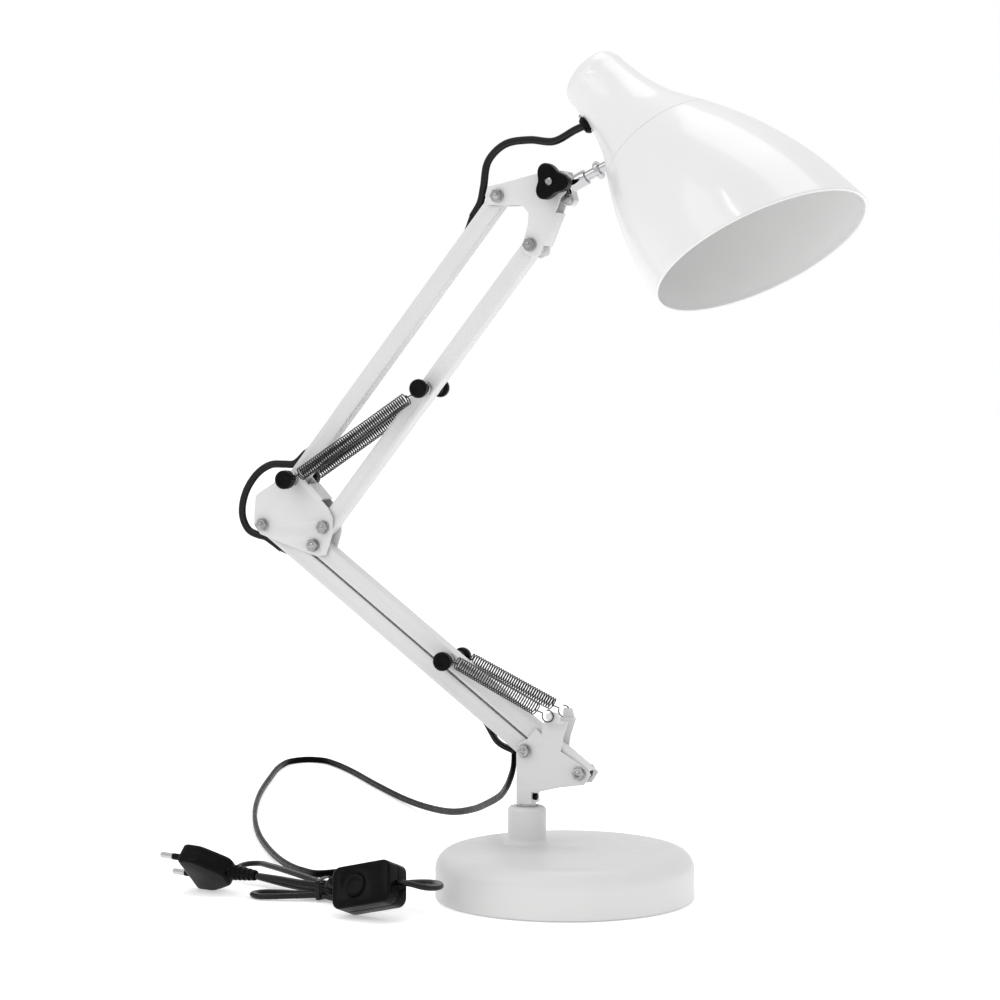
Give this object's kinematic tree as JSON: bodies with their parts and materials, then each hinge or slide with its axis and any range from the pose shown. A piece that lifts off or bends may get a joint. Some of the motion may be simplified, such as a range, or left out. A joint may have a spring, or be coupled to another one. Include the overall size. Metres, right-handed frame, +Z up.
{
  "type": "swing arm desk lamp",
  "caption": "Desk lamp with a round weighted base, two spring-held parallelogram arms and a tilting, twisting cone shade, with corded switch and plug.",
  "frame": {"origin": "centre of the base's underside, on the table", "axes": "+Z up; the arms lie in a plane along X, and the shade looks towards +X"},
  "size_m": [0.6223, 0.5915, 0.5349],
  "materials": {
    "white_paint": "satin",
    "shade_paint": "gloss",
    "cast_iron": "rough",
    "foot_pad": "matte",
    "liner_plastic": "matte",
    "nickel_fastener": "satin",
    "chrome": "polished",
    "spring_steel": "satin",
    "black_knob": "satin",
    "black_cord": "satin",
    "black_case": "gloss",
    "holder_plastic": "matte"
  },
  "bodies": {
    "base": {"base_cover": "white_paint", "base_weight": "cast_iron", "base_pad": "foot_pad", "post_bush": "liner_plastic", "power_cord": "black_cord", "cord_hank": "black_cord", "cord_tie": "black_cord", "switch_top": "black_case", "switch_bottom": "black_case", "plug_body": "black_case", "plug_pin_left": "chrome", "plug_pin_right": "chrome"},
    "rocker": {"switch_rocker": "black_case"},
    "turntable": {"base_bracket": "white_paint", "base_bolt_left": "nickel_fastener", "base_bolt_right": "nickel_fastener", "base_cable_loop": "black_cord"},
    "lower_left_arm": {"lower_left_bar": "white_paint", "lower_cable": "black_cord"},
    "lower_right_arm": {"lower_right_bar": "white_paint", "lower_spring_pin": "nickel_fastener", "lower_knob_front": "black_knob", "lower_knob_rear": "black_knob", "lower_spring_front": "spring_steel", "lower_spring_rear": "spring_steel"},
    "elbow": {"elbow_bracket": "white_paint", "elbow_bolt_lower_left": "nickel_fastener", "elbow_bolt_lower_right": "nickel_fastener", "elbow_bolt_upper_right": "nickel_fastener", "elbow_spring_pin": "nickel_fastener", "elbow_knob_front": "black_knob", "elbow_knob_rear": "black_knob", "elbow_cable_loop": "black_cord"},
    "upper_left_arm": {"upper_left_bar": "white_paint", "upper_cable": "black_cord"},
    "upper_right_arm": {"upper_right_bar": "white_paint", "upper_spring_pin": "nickel_fastener", "upper_knob_front": "black_knob", "upper_knob_rear": "black_knob", "upper_spring_front": "spring_steel", "upper_spring_rear": "spring_steel"},
    "head": {"head_bracket": "white_paint", "head_bolt_left": "nickel_fastener", "head_bolt_right": "nickel_fastener", "head_cable_loop": "black_cord"},
    "tilt_clamp": {"swivel_block": "chrome", "swivel_screw": "nickel_fastener", "tilt_bolt": "nickel_fastener"},
    "clamp_knob": {"tilt_knob": "black_knob"},
    "shade": {"shade_rod": "chrome", "rod_nut": "chrome", "shade_cap": "shade_paint", "shade_bell": "shade_paint", "lamp_holder": "holder_plastic", "holder_ring": "holder_plastic", "cord_grommet": "black_knob", "grommet_screw": "chrome"}
  },
  "joints": [
    {"name": "base_swivel", "type": "hinge", "parent": "base", "child": "turntable", "pos_m": [-0.029, 0.007, 0.03], "axis": [0, 0, 1], "range_deg": [-170, 170], "deforming": ["base_cable_loop"]},
    {"name": "shoulder", "type": "hinge", "parent": "turntable", "child": "lower_left_arm", "pos_m": [-0.0275, 0.007, 0.0925], "axis": [0, 1, 0], "range_deg": [-1.5, 70], "deforming": ["base_cable_loop", "elbow_cable_loop", "lower_spring_front", "lower_spring_rear"]},
    {"name": "shoulder_right", "type": "hinge", "parent": "turntable", "child": "lower_right_arm", "pos_m": [0.0101, 0.007, 0.08], "axis": [0, 1, 0], "range_deg": [-1.5, 70], "deforming": ["lower_spring_front", "lower_spring_rear"]},
    {"name": "elbow_hinge", "type": "hinge", "parent": "lower_left_arm", "child": "elbow", "pos_m": [-0.21512, 0.007, 0.23234], "axis": [0, 1, 0], "range_deg": [-70, 1.5], "deforming": ["elbow_cable_loop"]},
    {"name": "upper_arm", "type": "hinge", "parent": "elbow", "child": "upper_left_arm", "pos_m": [-0.19272, 0.007, 0.26304], "axis": [0, 1, 0], "range_deg": [-15, 40], "deforming": ["elbow_cable_loop", "head_cable_loop", "upper_spring_front", "upper_spring_rear"]},
    {"name": "upper_arm_right", "type": "hinge", "parent": "elbow", "child": "upper_right_arm", "pos_m": [-0.17042, 0.007, 0.23184], "axis": [0, 1, 0], "range_deg": [-15, 40], "deforming": ["upper_spring_front", "upper_spring_rear"]},
    {"name": "head_hinge", "type": "hinge", "parent": "upper_left_arm", "child": "head", "pos_m": [-0.04641, 0.007, 0.44566], "axis": [0, 1, 0], "range_deg": [-40, 15], "deforming": ["head_cable_loop"]},
    {"name": "shade_tilt", "type": "hinge", "parent": "head", "child": "tilt_clamp", "pos_m": [-0.0059, 0.007, 0.4531], "axis": [0, 1, 0], "range_deg": [-45, 45], "deforming": ["head_cable_loop"]},
    {"name": "knob_turn", "type": "hinge", "parent": "tilt_clamp", "child": "clamp_knob", "pos_m": [-0.0059, 0.007, 0.4531], "axis": [0, 1, 0], "continuous": true},
    {"name": "shade_twist", "type": "hinge", "parent": "tilt_clamp", "child": "shade", "pos_m": [-0.004, 0.007, 0.4492], "axis": [0.8988, 0, 0.4384], "range_deg": [-50, 60], "deforming": ["head_cable_loop"]},
    {"name": "switch_rocker", "type": "hinge", "parent": "base", "child": "rocker", "pos_m": [-0.09126, -0.11653, 0.02141], "axis": [-0.0551, 0.4397, 0.8965], "range_deg": [-2, 14]}
  ],
  "couplings": [
    {"joint": "shoulder_right", "follows": "shoulder", "ratio": 1},
    {"joint": "elbow_hinge", "follows": "shoulder", "ratio": -1},
    {"joint": "upper_arm_right", "follows": "upper_arm", "ratio": 1},
    {"joint": "head_hinge", "follows": "upper_arm", "ratio": -1}
  ]
}
